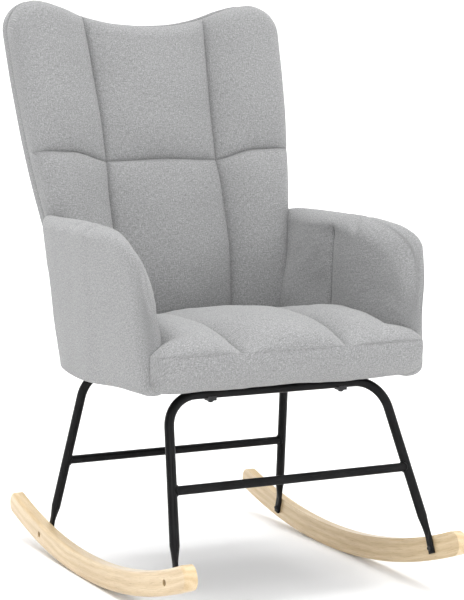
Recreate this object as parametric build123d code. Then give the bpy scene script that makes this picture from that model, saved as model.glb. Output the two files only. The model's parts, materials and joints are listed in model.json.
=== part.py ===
from build123d import *
import math
import os

# Rocking chair: padded seat, arms and winged back on two bent-tube leg frames and two wooden rockers.
# Millimetres. X is left to right seen from the front, the chair faces -Y, +Z is up.
# The pieces are laid out in a working frame, then the whole chair is centred over the origin.

# ---- clearances ----
SOFT_GAP = 0.5        # between padding and its neighbours
BOLT_GAP = 0.3        # round a shank or a barrel in a plain hole
THREAD_GAP = 0.03     # round a shank in its own thread

# ---- rockers ----
ROCKER_RADIUS = 1173.0        # underside, which rolls on the floor
ROCKER_HEIGHT = 40.0
ROCKER_THICKNESS = 20.0
ROCKER_OUTER_X = 253.0        # outer face, from the centre line
ROCKER_CENTRE_Y = 65.0        # lowest point of the arc
ROCKER_FRONT_ANGLE = 21.2
ROCKER_BACK_ANGLE = 16.9
ROCKER_END_ROUND = 18.5
ROCKER_EDGE_ROUND = 6.5

# ---- leg frames ----
TUBE_RADIUS = 8.0
TUBE_WALL = 1.5
CROSSBAR_RADIUS = 7.4
BEND_RADIUS = 56.0            # centre line of the tube bends
FRAME_TOP_HALF = 195.0        # sharp corner of the bent tube, from the centre line
FRONT_BAR_Y = -169.0
REAR_BAR_Y = 159.0
FRONT_FOOT_Y = -277.0
REAR_FOOT_Y = 250.0
FRONT_CROSSBAR_Z = 200.0
REAR_CROSSBAR_Z = 173.0
TAB_THICKNESS = 6.0           # flattened tube end on the rocker
TAB_WIDTH = 15.0
TAB_ABOVE_BOLT = 20.0
TAB_BELOW_BOLT = 9.0
TAPER_LENGTH = 34.0           # from round tube to flat tab

# ---- seat ----
SEAT_BOTTOM_Z = 347.0
DUST_COVER_THICKNESS = 1.0
FRAME_HALF_WIDTH = 210.0      # outer faces of the side rails
FRAME_FRONT_Y = -182.0        # front face of the front rail
FRAME_BACK_Y = 227.0          # side rails end here, on the back frame
RAIL_THICKNESS = 25.0
RAIL_HEIGHT = 50.0
CORNER_BLOCK = 40.0
WEBBING_THICKNESS = 1.5
WEBBING_WIDTH = 50.0
LENGTHWISE_STRAPS = 4
CROSSWISE_STRAPS = 3
SEAT_PAD_THICKNESS = 58.0
SEAT_EDGE_ROUND = 24.0
LIP_THICKNESS = 48.0          # padding in front of the front rail
LIP_HALF_WIDTH = 236.0
LIP_HEIGHT = 86.0

# ---- back ----
BACK_PAD_THICKNESS = 32.0
BACK_FRAME_THICKNESS = 16.0
BACK_COVER_THICKNESS = 5.0
COVER_INSET = 30.0            # the rear cover stops this far inside the back's edge
WING_FORWARD = 22.0           # the side columns of padding stand this much forward
COLUMN_HALF = 112.0           # half width of the middle column
BACK_BEND_Z = 490.0
BACK_BEND_RADIUS = 450.0
BACK_RECLINE = 17.0
BACK_TOP_Z = 980.0            # top of the wings
BACK_DIP = 40.0               # the top edge is this much lower in the middle
BACK_FOOT_HALF = 212.0
WAIST_HALF = 217.0
WAIST_Z = 450.0
SHOULDER_HALF = 256.0
SHOULDER_Z = 720.0
WING_HALF = 268.0
WING_CORNER = 62.0            # rounding of a wing's top corner
LEAST_ROUND = 4.0             # rounding left where a corner is drawn far in
STILE_INSET = 17.0            # padding round the edge of the back frame
STILE_WIDTH = 42.0
TOP_RAIL_WIDTH = 55.0
LUMBAR_RAIL_Z = 640.0
LUMBAR_RAIL_WIDTH = 45.0
BACK_STRAPS = 5

# ---- arms ----
ARM_TOP_Z = 606.0
ARM_FRONT_Y = -208.0
ARM_REAR_Y = 250.0
ARM_CORNER = 110.0            # rounding of the upper front corner
ARM_PANEL_THICKNESS = 12.0
ARM_PANEL_INSET = 36.0        # padding round the edge of the panel
ARM_INNER_X = 204.0           # at the foot
ARM_FRONT_X = 254.0           # outer face at the foot: in front, at its widest, and behind
ARM_WIDEST_X = 262.0
ARM_WIDEST_Y = -50.0
ARM_BEHIND_X = 256.0
ARM_BEHIND_Y = 120.0
ARM_FLARE = 16.0              # the arm leans out by this much at its top

# ---- fasteners ----
M5 = 2.5                      # shank radii
M6 = 3.0
SCREW_RADIUS = 2.0
SCREW_LENGTH = 16.0
HEAD_HEIGHT = 3.2
SADDLE_SIZE = 15.0
SADDLE_THICKNESS = 3.0        # under the lowest line of the tube
SLEEVE_NUT_RADIUS = 5.5
SLEEVE_NUT_RECESS = 6.0       # below the rocker's outer face
TEE_BARREL_RADIUS = 4.0
TEE_FLANGE_RADIUS = 9.0
TEE_FLANGE_THICKNESS = 1.5
LEG_BOLT_X = 120.0
ARM_BOLT_YS = (-110.0, 90.0)
BRACKET_THICKNESS = 3.0
BRACKET_HEIGHT = 36.0
BRACKET_REACH = 42.0
BRACKET_HOLE_SPACING = 18.0
BRACKET_HOLE_REACH = 26.0     # from the corner of the bracket to its holes

# ---- derived places ----
RAIL_BOTTOM_Z = SEAT_BOTTOM_Z + DUST_COVER_THICKNESS
RAIL_TOP_Z = RAIL_BOTTOM_Z + RAIL_HEIGHT
RAIL_MID_Z = RAIL_BOTTOM_Z + RAIL_HEIGHT / 2
WEBBING_TOP_Z = RAIL_TOP_Z + 2 * WEBBING_THICKNESS
SEAT_TOP_Z = WEBBING_TOP_Z + SEAT_PAD_THICKNESS
RAIL_INNER_X = FRAME_HALF_WIDTH - RAIL_THICKNESS
BAR_Z = SEAT_BOTTOM_Z - TUBE_RADIUS
ROCKER_INNER_X = ROCKER_OUTER_X - ROCKER_THICKNESS
TAB_X = ROCKER_INNER_X - TAB_THICKNESS / 2
FRAME_OFFSET = BACK_PAD_THICKNESS + WEBBING_THICKNESS
COVER_OFFSET = FRAME_OFFSET + BACK_FRAME_THICKNESS
BACK_THICKNESS = COVER_OFFSET + BACK_COVER_THICKNESS
BACK_FRONT_Y = FRAME_BACK_Y - FRAME_OFFSET
PAD_REAR_Y = BACK_FRONT_Y - WING_FORWARD - SOFT_GAP
SEAT_PAD_HALF = ARM_INNER_X - SOFT_GAP
FAR = 2 * BACK_TOP_Z          # past the whole chair
SIDES = (-1, 1)


# ---- helpers ----
def block(x0, x1, y0, y1, z0, z1):
    """A box between two corners."""
    size = (abs(x1 - x0), abs(y1 - y0), abs(z1 - z0))
    return Pos((x0 + x1) / 2, (y0 + y1) / 2, (z0 + z1) / 2) * Box(*size)


def place(shape, point, direction):
    """Stand a shape made along +Z on a point, facing a direction."""
    return Plane(origin=point, z_dir=direction) * shape


def rod(point, direction, length, radius):
    """A cylinder from a point along a direction."""
    return place(extrude(Circle(radius), length), point, direction)


def button_bolt(radius, length):
    """A socket button-head bolt: head below z = 0, shank up to its length."""
    head_radius = 1.75 * radius
    crown = [(0, 0), (head_radius, 0), (head_radius, -0.35 * HEAD_HEIGHT)]
    crown += [(0.6 * head_radius, -HEAD_HEIGHT), (0, -HEAD_HEIGHT)]
    head = revolve(Plane.XZ * make_face(Polyline(*crown, close=True)), Axis.Z)
    socket = Pos(0, 0, -HEAD_HEIGHT) * extrude(RegularPolygon(0.7 * radius, 6), 0.6 * HEAD_HEIGHT)
    return head + extrude(Circle(radius), length) - socket


def tee_nut(length):
    """A tee nut: flange below z = 0, barrel up to its length, threaded right through."""
    flange = extrude(Circle(TEE_FLANGE_RADIUS), -TEE_FLANGE_THICKNESS)
    barrel = extrude(Circle(TEE_BARREL_RADIUS), length)
    bore = Pos(0, 0, -TEE_FLANGE_THICKNESS) * extrude(Circle(M6 + THREAD_GAP), length + TEE_FLANGE_THICKNESS)
    return flange + barrel - bore


def tee_nut_seat(point, direction, depth):
    """The cut for a tee nut let in flush: the flange's recess and a hole for barrel and bolt."""
    flange = rod(point, direction, TEE_FLANGE_THICKNESS, TEE_FLANGE_RADIUS + BOLT_GAP)
    return flange + rod(point, direction, depth, TEE_BARREL_RADIUS + BOLT_GAP)


def mirrored(shape):
    return mirror(shape, Plane.YZ)


# ---- rockers ----
def rocker_point(y, depth):
    """The height of the arc that lies a depth above the rocker's underside."""
    radius = ROCKER_RADIUS - depth
    return ROCKER_RADIUS - math.sqrt(radius ** 2 - (y - ROCKER_CENTRE_Y) ** 2)


def foot_bolt(foot_y):
    """Where a leg's bolt enters the right rocker's inner face."""
    return (ROCKER_INNER_X, foot_y, rocker_point(foot_y, ROCKER_HEIGHT / 2))


def rocker():
    """The right rocker: a bent lath with round ends, bored for the legs' sleeve nuts."""
    reach = 2 * ROCKER_RADIUS
    ring = Circle(ROCKER_RADIUS) - Circle(ROCKER_RADIUS - ROCKER_HEIGHT)
    rays = []
    for angle in (-90 - ROCKER_FRONT_ANGLE, -90 + ROCKER_BACK_ANGLE):
        rays.append((reach * math.cos(math.radians(angle)), reach * math.sin(math.radians(angle))))
    wedge = make_face(Polyline((0, 0), *rays, close=True))
    side = fillet((ring & wedge).vertices(), ROCKER_END_ROUND)
    plane = Plane(origin=(ROCKER_INNER_X, ROCKER_CENTRE_Y, ROCKER_RADIUS), x_dir=(0, 1, 0), z_dir=(1, 0, 0))
    body = extrude(plane * side, ROCKER_THICKNESS)
    body = fillet(body.edges().group_by(Axis.X)[-1], ROCKER_EDGE_ROUND)
    for foot_y in (FRONT_FOOT_Y, REAR_FOOT_Y):
        body -= rod(foot_bolt(foot_y), (1, 0, 0), ROCKER_THICKNESS, SLEEVE_NUT_RADIUS + THREAD_GAP)
    return body


def rocker_bolts():
    """Button-head bolts from inside, through the leg tabs into the sleeve nuts."""
    length = TAB_THICKNESS + ROCKER_THICKNESS - SLEEVE_NUT_RECESS - HEAD_HEIGHT
    one = button_bolt(M5, length)
    bolts = []
    for foot_y in (FRONT_FOOT_Y, REAR_FOOT_Y):
        x, y, z = foot_bolt(foot_y)
        bolts.append(place(one, (x - TAB_THICKNESS, y, z), (1, 0, 0)))
    return bolts


def rocker_sleeve_nuts():
    """Threaded sleeves in the rocker, let in below its outer face, with a socket for a key."""
    length = ROCKER_THICKNESS - SLEEVE_NUT_RECESS
    one = extrude(Circle(SLEEVE_NUT_RADIUS), length)
    one -= extrude(Circle(M5 + THREAD_GAP), length - HEAD_HEIGHT + BOLT_GAP)
    one -= Pos(0, 0, length) * extrude(RegularPolygon(M5, 6), -0.7 * HEAD_HEIGHT)
    return [place(one, foot_bolt(foot_y), (1, 0, 0)) for foot_y in (FRONT_FOOT_Y, REAR_FOOT_Y)]


# ---- leg frames ----
def leg_line(bar_y, foot_y):
    """The right leg: its top corner, the top of its tab, and the tab's and the leg's directions."""
    corner = Vector(FRAME_TOP_HALF, bar_y, BAR_Z)
    bolt_z = foot_bolt(foot_y)[2]
    lean = Vector(0, foot_y - bar_y, bolt_z - BAR_Z).normalized()
    tab_top = Vector(TAB_X, foot_y, bolt_z) - lean * TAB_ABOVE_BOLT
    return corner, tab_top, lean, (tab_top - corner).normalized()


def tube_core(bar_y, foot_y, radius):
    """The bent tube as a solid rod, from one taper to the other."""
    corner, tab_top, _, along = leg_line(bar_y, foot_y)
    end = tab_top - along * TAPER_LENGTH
    points = [Vector(-end.X, end.Y, end.Z), Vector(-corner.X, corner.Y, corner.Z), corner, end]
    path = FilletPolyline(*points, radius=BEND_RADIUS)
    section = Plane(origin=points[0], z_dir=path % 0) * Circle(radius)
    return sweep(section, path=path)


def leg_end(bar_y, foot_y):
    """The right leg's tapered end and its flat tab, bored for the rocker's bolt."""
    _, tab_top, lean, along = leg_line(bar_y, foot_y)
    start = Plane(origin=tab_top - along * TAPER_LENGTH, x_dir=(0, along.Z, -along.Y), z_dir=along)
    flat = Plane(origin=tab_top, x_dir=(0, lean.Z, -lean.Y), z_dir=lean)
    section = flat * SlotOverall(TAB_WIDTH, TAB_THICKNESS)
    taper = loft([start * Circle(TUBE_RADIUS), section], ruled=True)
    tab = extrude(section, TAB_ABOVE_BOLT + TAB_BELOW_BOLT)
    beside = (TAB_X - TAB_THICKNESS, foot_y, foot_bolt(foot_y)[2])
    hole = rod(beside, (1, 0, 0), 2 * TAB_THICKNESS, M5 + BOLT_GAP)
    return taper + tab - hole


def leg_tube(bar_y, foot_y):
    """One bent leg tube, hollow between its two closed, flattened ends."""
    end = leg_end(bar_y, foot_y)
    bar = tube_core(bar_y, foot_y, TUBE_RADIUS) - tube_core(bar_y, foot_y, TUBE_RADIUS - TUBE_WALL)
    tube = bar + end + mirrored(end)
    for side in SIDES:
        start = (side * LEG_BOLT_X, bar_y, BAR_Z - 2 * TUBE_RADIUS)
        tube -= rod(start, (0, 0, 1), 4 * TUBE_RADIUS, M6 + BOLT_GAP)
    return tube


def crossbar(bar_y, foot_y, height):
    """A straight round tube, coped to the legs where it is welded on."""
    corner, _, _, along = leg_line(bar_y, foot_y)
    at = corner + along * ((height - corner.Z) / along.Z)
    bar = rod((-at.X, at.Y, at.Z), (1, 0, 0), 2 * at.X, CROSSBAR_RADIUS)
    bar -= rod((-at.X, at.Y, at.Z), (1, 0, 0), 2 * at.X, CROSSBAR_RADIUS - TUBE_WALL)
    return bar - tube_core(bar_y, foot_y, TUBE_RADIUS)


def leg_bolt_places():
    return [(side * LEG_BOLT_X, bar_y) for bar_y in (FRONT_BAR_Y, REAR_BAR_Y) for side in SIDES]


def leg_saddle_washers():
    """Washers hollowed to the tube, under each leg bolt."""
    bottom = BAR_Z - TUBE_RADIUS - SADDLE_THICKNESS
    washers = []
    for x, y in leg_bolt_places():
        half = SADDLE_SIZE / 2
        blank = block(x - half, x + half, y - half, y + half, bottom, BAR_Z - TUBE_RADIUS / 2)
        blank -= rod((x - SADDLE_SIZE, y, BAR_Z), (1, 0, 0), 2 * SADDLE_SIZE, TUBE_RADIUS)
        washers.append(blank - rod((x, y, bottom), (0, 0, 1), SADDLE_SIZE, M6 + BOLT_GAP))
    return washers


def leg_bolts():
    bottom = BAR_Z - TUBE_RADIUS - SADDLE_THICKNESS
    one = button_bolt(M6, RAIL_TOP_Z - bottom - 2 * TEE_FLANGE_THICKNESS)
    return [place(one, (x, y, bottom), (0, 0, 1)) for x, y in leg_bolt_places()]


def leg_tee_nuts():
    """Let in flush with the top of the front and rear rails."""
    one = tee_nut(RAIL_HEIGHT / 3)
    top = RAIL_TOP_Z - TEE_FLANGE_THICKNESS
    return [place(one, (x, y, top), (0, 0, -1)) for x, y in leg_bolt_places()]


# ---- seat frame ----
def cross_rail(bar_y):
    """A rail over a leg frame's bar, bored for its bolts and tee nuts."""
    half = RAIL_THICKNESS / 2
    rail = block(-RAIL_INNER_X, RAIL_INNER_X, bar_y - half, bar_y + half, RAIL_BOTTOM_Z, RAIL_TOP_Z)
    for side in SIDES:
        rail -= tee_nut_seat((side * LEG_BOLT_X, bar_y, RAIL_TOP_Z), (0, 0, -1), RAIL_HEIGHT)
    return rail


def side_rail():
    """The right side rail, bored for the arm's bolts and the bracket's screws."""
    rail = block(RAIL_INNER_X, FRAME_HALF_WIDTH, FRAME_FRONT_Y, FRAME_BACK_Y, RAIL_BOTTOM_Z, RAIL_TOP_Z)
    for y in ARM_BOLT_YS:
        rail -= rod((RAIL_INNER_X, y, RAIL_MID_Z), (1, 0, 0), RAIL_THICKNESS, M6 + BOLT_GAP)
    for z in bracket_heights():
        point = (RAIL_INNER_X, FRAME_BACK_Y - BRACKET_HOLE_REACH, z)
        rail -= rod(point, (1, 0, 0), SCREW_LENGTH - BRACKET_THICKNESS, SCREW_RADIUS + THREAD_GAP)
    return rail


def corner_blocks():
    """Triangular glue blocks in the four corners of the seat frame."""
    blocks = []
    half = RAIL_THICKNESS / 2
    for rail_face, inward in ((FRONT_BAR_Y + half, 1), (REAR_BAR_Y - half, -1)):
        corner = (RAIL_INNER_X, rail_face)
        along_x = (RAIL_INNER_X - CORNER_BLOCK, rail_face)
        along_y = (RAIL_INNER_X, rail_face + inward * CORNER_BLOCK)
        outline = make_face(Polyline(corner, along_x, along_y, close=True))
        wedge = Pos(0, 0, RAIL_BOTTOM_Z) * extrude(outline, RAIL_HEIGHT)
        blocks += [wedge, mirrored(wedge)]
    return blocks


def spread(count, start, end, width):
    """The near edges of evenly spaced strips of one width between two limits."""
    gap = (end - start - count * width) / (count + 1)
    return [start + gap + i * (width + gap) for i in range(count)]


def seat_webbing_lengthwise():
    """Elastic straps from the front rail to the rear rail."""
    straps = []
    reach = (FRONT_BAR_Y - RAIL_THICKNESS / 2, REAR_BAR_Y + RAIL_THICKNESS / 2)
    for x in spread(LENGTHWISE_STRAPS, -RAIL_INNER_X, RAIL_INNER_X, WEBBING_WIDTH):
        straps.append(block(x, x + WEBBING_WIDTH, *reach, RAIL_TOP_Z, RAIL_TOP_Z + WEBBING_THICKNESS))
    return straps


def seat_webbing_crosswise():
    """Straps from side rail to side rail, over the lengthwise ones."""
    straps = []
    start = FRONT_BAR_Y + RAIL_THICKNESS / 2
    for y in spread(CROSSWISE_STRAPS, start, REAR_BAR_Y - RAIL_THICKNESS / 2, WEBBING_WIDTH):
        low = RAIL_TOP_Z + WEBBING_THICKNESS
        straps.append(block(-FRAME_HALF_WIDTH, FRAME_HALF_WIDTH, y, y + WEBBING_WIDTH, low, WEBBING_TOP_Z))
    return straps


def seat_lip(grow):
    """The part of the seat's padding that hangs in front of the rail and between the arms' fronts."""
    half = LIP_HALF_WIDTH + grow
    front = FRAME_FRONT_Y - LIP_THICKNESS
    rear = FRAME_FRONT_Y - SOFT_GAP + grow
    return block(-half, half, front, rear, SEAT_BOTTOM_Z, SEAT_BOTTOM_Z + LIP_HEIGHT + grow)


def seat_cushion():
    """Foam and cover: a pad over the webbing, and a lip down the front rail."""
    half = SEAT_PAD_HALF
    pad = block(-half, half, FRAME_FRONT_Y - LIP_THICKNESS, PAD_REAR_Y, WEBBING_TOP_Z, SEAT_TOP_Z)
    pad = fillet(pad.edges().filter_by(Axis.X).group_by(Axis.Z)[-1], SEAT_EDGE_ROUND)
    return pad + seat_lip(0)


def dust_cover():
    """Thin cloth stapled under the seat frame, pierced by the leg bolts."""
    half = FRAME_HALF_WIDTH
    sheet = block(-half, half, FRAME_FRONT_Y, FRAME_BACK_Y, SEAT_BOTTOM_Z, RAIL_BOTTOM_Z)
    for x, y in leg_bolt_places():
        sheet -= rod((x, y, SEAT_BOTTOM_Z), (0, 0, 1), DUST_COVER_THICKNESS, M6 + BOLT_GAP)
    return sheet


# ---- back ----
def back_slab(near, far):
    """The space between two surfaces that lie behind the back's front surface."""
    lean = FAR * math.tan(math.radians(BACK_RECLINE))
    lines = []
    for offset in (near, far):
        y = BACK_FRONT_Y + offset
        points = [(y, 0), (y, BACK_BEND_Z), (y + lean, BACK_BEND_Z + FAR)]
        lines.append(FilletPolyline(*points, radius=BACK_BEND_RADIUS))
    foot = Line(lines[0] @ 0, lines[1] @ 0)
    head = Line(lines[0] @ 1, lines[1] @ 1)
    side = make_face(Curve() + [*lines, foot, head])
    return extrude(Plane.YZ * side, FAR, both=True)


def outline_face(inset):
    """The back seen from the front, drawn in from its edge and carried straight down past its foot."""
    round_off = max(WING_CORNER - inset, LEAST_ROUND)
    top = BACK_TOP_Z - inset
    edge = WING_HALF - inset
    foot = (BACK_FOOT_HALF - inset, SEAT_BOTTOM_Z)
    waist = (WAIST_HALF - inset, WAIST_Z)
    shoulder = (SHOULDER_HALF - inset, SHOULDER_Z)
    drop = Line((foot[0], 0), foot)
    side = Spline(foot, waist, shoulder, (edge, top - round_off), tangents=((0, 1), (0, 1)))
    corner = Spline((edge, top - round_off), (edge - round_off, top), tangents=((0, 1), (-1, 0)))
    rim = Spline((edge - round_off, top), (0, top - BACK_DIP), tangents=((-1, 0), (-1, 0)))
    half = Curve() + [drop, side, corner, rim]
    base = Line((-foot[0], 0), (foot[0], 0))
    return make_face(Curve() + [half, mirror(half, Plane.YZ), base])


def through(face):
    """A face drawn from the front, as a prism through the whole chair."""
    return extrude(Plane.XZ * face, FAR, both=True)


def layer(low, high):
    """A level layer through the whole chair."""
    return block(-FAR, FAR, -FAR, FAR, low, high)


def back_cushion():
    """Foam and cover of the back: a middle column and two side columns set forward."""
    column = block(-COLUMN_HALF, COLUMN_HALF, -FAR, FAR, 0, FAR)
    wings = back_slab(-WING_FORWARD, BACK_PAD_THICKNESS) - column
    pad = back_slab(0, BACK_PAD_THICKNESS) + wings
    return pad & through(outline_face(0)) & layer(RAIL_TOP_Z + SOFT_GAP, FAR)


def back_frame():
    """The curved frame of the back: its ring, split into stiles and top rail, and two rails between."""
    slab = back_slab(FRAME_OFFSET, COVER_OFFSET)
    inner = outline_face(STILE_INSET + STILE_WIDTH)
    hollow = through(inner)
    ring = outline_face(STILE_INSET) - inner
    joint_z = BACK_TOP_Z - STILE_INSET - BACK_DIP - TOP_RAIL_WIDTH
    height = joint_z - RAIL_BOTTOM_Z
    upper = through(ring & Pos(0, joint_z + FAR / 2) * Rectangle(FAR, FAR))
    right = through(ring & Pos(FAR / 2, joint_z - height / 2) * Rectangle(FAR, height)) & slab
    half = LUMBAR_RAIL_WIDTH / 2
    return {
        "back_stile_right": right,
        "back_stile_left": mirrored(right),
        "back_top_rail": upper & slab,
        "back_lumbar_rail": slab & hollow & layer(LUMBAR_RAIL_Z - half, LUMBAR_RAIL_Z + half),
        "back_bottom_rail": slab & hollow & layer(RAIL_BOTTOM_Z, RAIL_TOP_Z),
    }


def back_webbing():
    """Level elastic straps across the front of the back frame."""
    slab = back_slab(BACK_PAD_THICKNESS, FRAME_OFFSET) & through(outline_face(STILE_INSET))
    straps = []
    for z in spread(BACK_STRAPS, RAIL_TOP_Z, BACK_TOP_Z - BACK_DIP - TOP_RAIL_WIDTH, WEBBING_WIDTH):
        straps.append(slab & layer(z, z + WEBBING_WIDTH))
    return straps


def back_rear_cover():
    """Thin padding and cover behind the back frame."""
    slab = back_slab(COVER_OFFSET, BACK_THICKNESS) & layer(SEAT_BOTTOM_Z, FAR)
    return slab & through(outline_face(COVER_INSET))


# ---- arms ----
def arm_profile(inset):
    """The arm seen from the side, drawn in from its edge, as a prism through the whole chair."""
    front = ARM_FRONT_Y + inset
    rear = ARM_REAR_Y - inset
    top = ARM_TOP_Z - inset
    points = [(front, SEAT_BOTTOM_Z), (rear, SEAT_BOTTOM_Z), (rear, top), (front, top)]
    face = make_face(Polyline(*points, close=True))
    corners = face.vertices()
    upper_front = corners.group_by(Axis.Y)[-1].sort_by(Axis.X)[0]
    face = fillet(upper_front, ARM_CORNER - inset)
    return extrude(Plane.YZ * face, FAR, both=True)


def arm_panel(gap):
    """The right arm's board: upright on the side rail, then leaning out to the arm's top."""
    inner = FRAME_HALF_WIDTH - gap
    outer = FRAME_HALF_WIDTH + ARM_PANEL_THICKNESS + gap
    top = ARM_TOP_Z - ARM_PANEL_INSET + gap
    lean = ARM_FLARE + ARM_PANEL_THICKNESS
    section = [(inner, RAIL_BOTTOM_Z - gap), (inner, RAIL_TOP_Z), (inner + lean, top)]
    section += [(outer + lean, top), (outer, RAIL_TOP_Z), (outer, RAIL_BOTTOM_Z - gap)]
    face = Plane.XZ * make_face(Polyline(*section, close=True))
    board = extrude(face, FAR, both=True) & arm_profile(ARM_PANEL_INSET - gap)
    board &= block(0, FAR, -FAR, PAD_REAR_Y + gap, RAIL_BOTTOM_Z - gap, FAR)
    return board


def arm_blank():
    """The right arm's padding before anything is let into it: narrower behind, leaning outwards."""
    sections = []
    for z, flare in ((SEAT_BOTTOM_Z, 0), (ARM_TOP_Z, ARM_FLARE)):
        inner = ARM_INNER_X + flare
        points = [(inner, ARM_FRONT_Y), (ARM_FRONT_X + flare, ARM_FRONT_Y)]
        points += [(ARM_WIDEST_X + flare, ARM_WIDEST_Y), (ARM_BEHIND_X + flare, ARM_BEHIND_Y)]
        points += [(BACK_FOOT_HALF + flare, ARM_REAR_Y), (inner, ARM_REAR_Y)]
        sections.append(Pos(0, 0, z) * make_face(Polyline(*points, close=True)))
    return loft(sections, ruled=True) & arm_profile(0)


def arm_pad():
    """Foam and cover of the right arm, round its board and fitted to the seat and the back."""
    pad = arm_blank() - arm_panel(SOFT_GAP)
    pad -= block(0, FRAME_HALF_WIDTH + SOFT_GAP, -FAR, FRAME_BACK_Y + SOFT_GAP, 0, WEBBING_TOP_Z + SOFT_GAP)
    pad -= seat_lip(SOFT_GAP)
    back = back_slab(-WING_FORWARD - SOFT_GAP, BACK_THICKNESS) & through(outline_face(-SOFT_GAP))
    return pad - back


def arm_panel_bored():
    board = arm_panel(0)
    for y in ARM_BOLT_YS:
        seat = (FRAME_HALF_WIDTH + ARM_PANEL_THICKNESS, y, RAIL_MID_Z)
        board -= tee_nut_seat(seat, (-1, 0, 0), ARM_PANEL_THICKNESS)
    return board


def arm_bolts():
    """Bolts from inside the side rail into the arm's board."""
    one = button_bolt(M6, RAIL_THICKNESS + ARM_PANEL_THICKNESS - TEE_FLANGE_THICKNESS)
    return [place(one, (RAIL_INNER_X, y, RAIL_MID_Z), (1, 0, 0)) for y in ARM_BOLT_YS]


def arm_tee_nuts():
    """Let in flush with the outer face of the arm's board."""
    one = tee_nut(ARM_PANEL_THICKNESS - 2 * TEE_FLANGE_THICKNESS)
    x = FRAME_HALF_WIDTH + ARM_PANEL_THICKNESS - TEE_FLANGE_THICKNESS
    return [place(one, (x, y, RAIL_MID_Z), (-1, 0, 0)) for y in ARM_BOLT_YS]


# ---- brackets between seat and back ----
def bracket_heights():
    half = BRACKET_HOLE_SPACING / 2
    return (RAIL_MID_Z - half, RAIL_MID_Z + half)


def bracket():
    """The right steel angle: on the side rail's inner face and the back stile's front face."""
    low = RAIL_MID_Z - BRACKET_HEIGHT / 2
    high = RAIL_MID_Z + BRACKET_HEIGHT / 2
    x = RAIL_INNER_X
    angle = block(x - BRACKET_THICKNESS, x, FRAME_BACK_Y - BRACKET_REACH, FRAME_BACK_Y, low, high)
    angle += block(x - BRACKET_REACH, x, FRAME_BACK_Y - BRACKET_THICKNESS, FRAME_BACK_Y, low, high)
    for z in bracket_heights():
        on_rail = (x - BRACKET_THICKNESS, FRAME_BACK_Y - BRACKET_HOLE_REACH, z)
        angle -= rod(on_rail, (1, 0, 0), BRACKET_THICKNESS, SCREW_RADIUS + BOLT_GAP)
        on_back = (x - BRACKET_HOLE_REACH, FRAME_BACK_Y - BRACKET_THICKNESS, z)
        angle -= rod(on_back, (0, 1, 0), BRACKET_THICKNESS, SCREW_RADIUS + BOLT_GAP)
    return angle


def bracket_screws():
    """Wood screws through the angle into the side rail and into the back stile."""
    one = button_bolt(SCREW_RADIUS, SCREW_LENGTH)
    screws = []
    for z in bracket_heights():
        on_rail = (RAIL_INNER_X - BRACKET_THICKNESS, FRAME_BACK_Y - BRACKET_HOLE_REACH, z)
        screws.append(place(one, on_rail, (1, 0, 0)))
        on_back = (RAIL_INNER_X - BRACKET_HOLE_REACH, FRAME_BACK_Y - BRACKET_THICKNESS, z)
        screws.append(place(one, on_back, (0, 1, 0)))
    return screws


def bored_for_screws(stile):
    """The right back stile with the pilot holes of the bracket's screws."""
    for z in bracket_heights():
        point = (RAIL_INNER_X - BRACKET_HOLE_REACH, FRAME_BACK_Y, z)
        stile -= rod(point, (0, 1, 0), SCREW_LENGTH - BRACKET_THICKNESS, SCREW_RADIUS + THREAD_GAP)
    return stile


# ---- assembly ----
def both_sides(shapes):
    """A group of right-hand pieces with their left-hand twins."""
    return shapes + [mirrored(shape) for shape in shapes]


def assemble():
    """Every piece of the chair, by name."""
    pieces = {
        "front_leg_tube": leg_tube(FRONT_BAR_Y, FRONT_FOOT_Y),
        "rear_leg_tube": leg_tube(REAR_BAR_Y, REAR_FOOT_Y),
        "front_crossbar": crossbar(FRONT_BAR_Y, FRONT_FOOT_Y, FRONT_CROSSBAR_Z),
        "rear_crossbar": crossbar(REAR_BAR_Y, REAR_FOOT_Y, REAR_CROSSBAR_Z),
        "rocker_bolts": both_sides(rocker_bolts()),
        "rocker_sleeve_nuts": both_sides(rocker_sleeve_nuts()),
        "leg_saddle_washers": leg_saddle_washers(),
        "leg_bolts": leg_bolts(),
        "leg_tee_nuts": leg_tee_nuts(),
        "seat_front_rail": cross_rail(FRONT_BAR_Y),
        "seat_rear_rail": cross_rail(REAR_BAR_Y),
        "seat_corner_blocks": corner_blocks(),
        "seat_webbing_lengthwise": seat_webbing_lengthwise(),
        "seat_webbing_crosswise": seat_webbing_crosswise(),
        "seat_cushion": seat_cushion(),
        "seat_dust_cover": dust_cover(),
        "back_cushion": back_cushion(),
        "back_webbing": back_webbing(),
        "back_rear_cover": back_rear_cover(),
        "arm_bolts": both_sides(arm_bolts()),
        "arm_tee_nuts": both_sides(arm_tee_nuts()),
        "bracket_screws": both_sides(bracket_screws()),
    }
    pieces.update(back_frame())
    pieces["back_stile_right"] = bored_for_screws(pieces["back_stile_right"])
    pieces["back_stile_left"] = mirrored(pieces["back_stile_right"])
    pairs = {"rocker": rocker, "seat_side_rail": side_rail, "arm_panel": arm_panel_bored,
             "arm_pad": arm_pad, "back_bracket": bracket}
    for name, make in pairs.items():
        right = make()
        pieces[name + "_right"] = right
        pieces[name + "_left"] = mirrored(right)
    return pieces


def main():
    os.makedirs("parts", exist_ok=True)
    pieces = {}
    for name, made in assemble().items():
        shapes = made if isinstance(made, list) else [made]
        pieces[name] = [solid for shape in shapes for solid in shape.solids()]
    boxes = [solid.bounding_box() for solids in pieces.values() for solid in solids]
    middle = (min(box.min.Y for box in boxes) + max(box.max.Y for box in boxes)) / 2
    for name, solids in pieces.items():
        moved = [Pos(0, -middle, 0) * solid for solid in solids]
        export_step(moved[0] if len(moved) == 1 else Compound(moved), f"parts/{name}.step")


main()
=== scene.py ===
import json
import math

import bpy
import numpy as np
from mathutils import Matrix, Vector, noise


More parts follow.
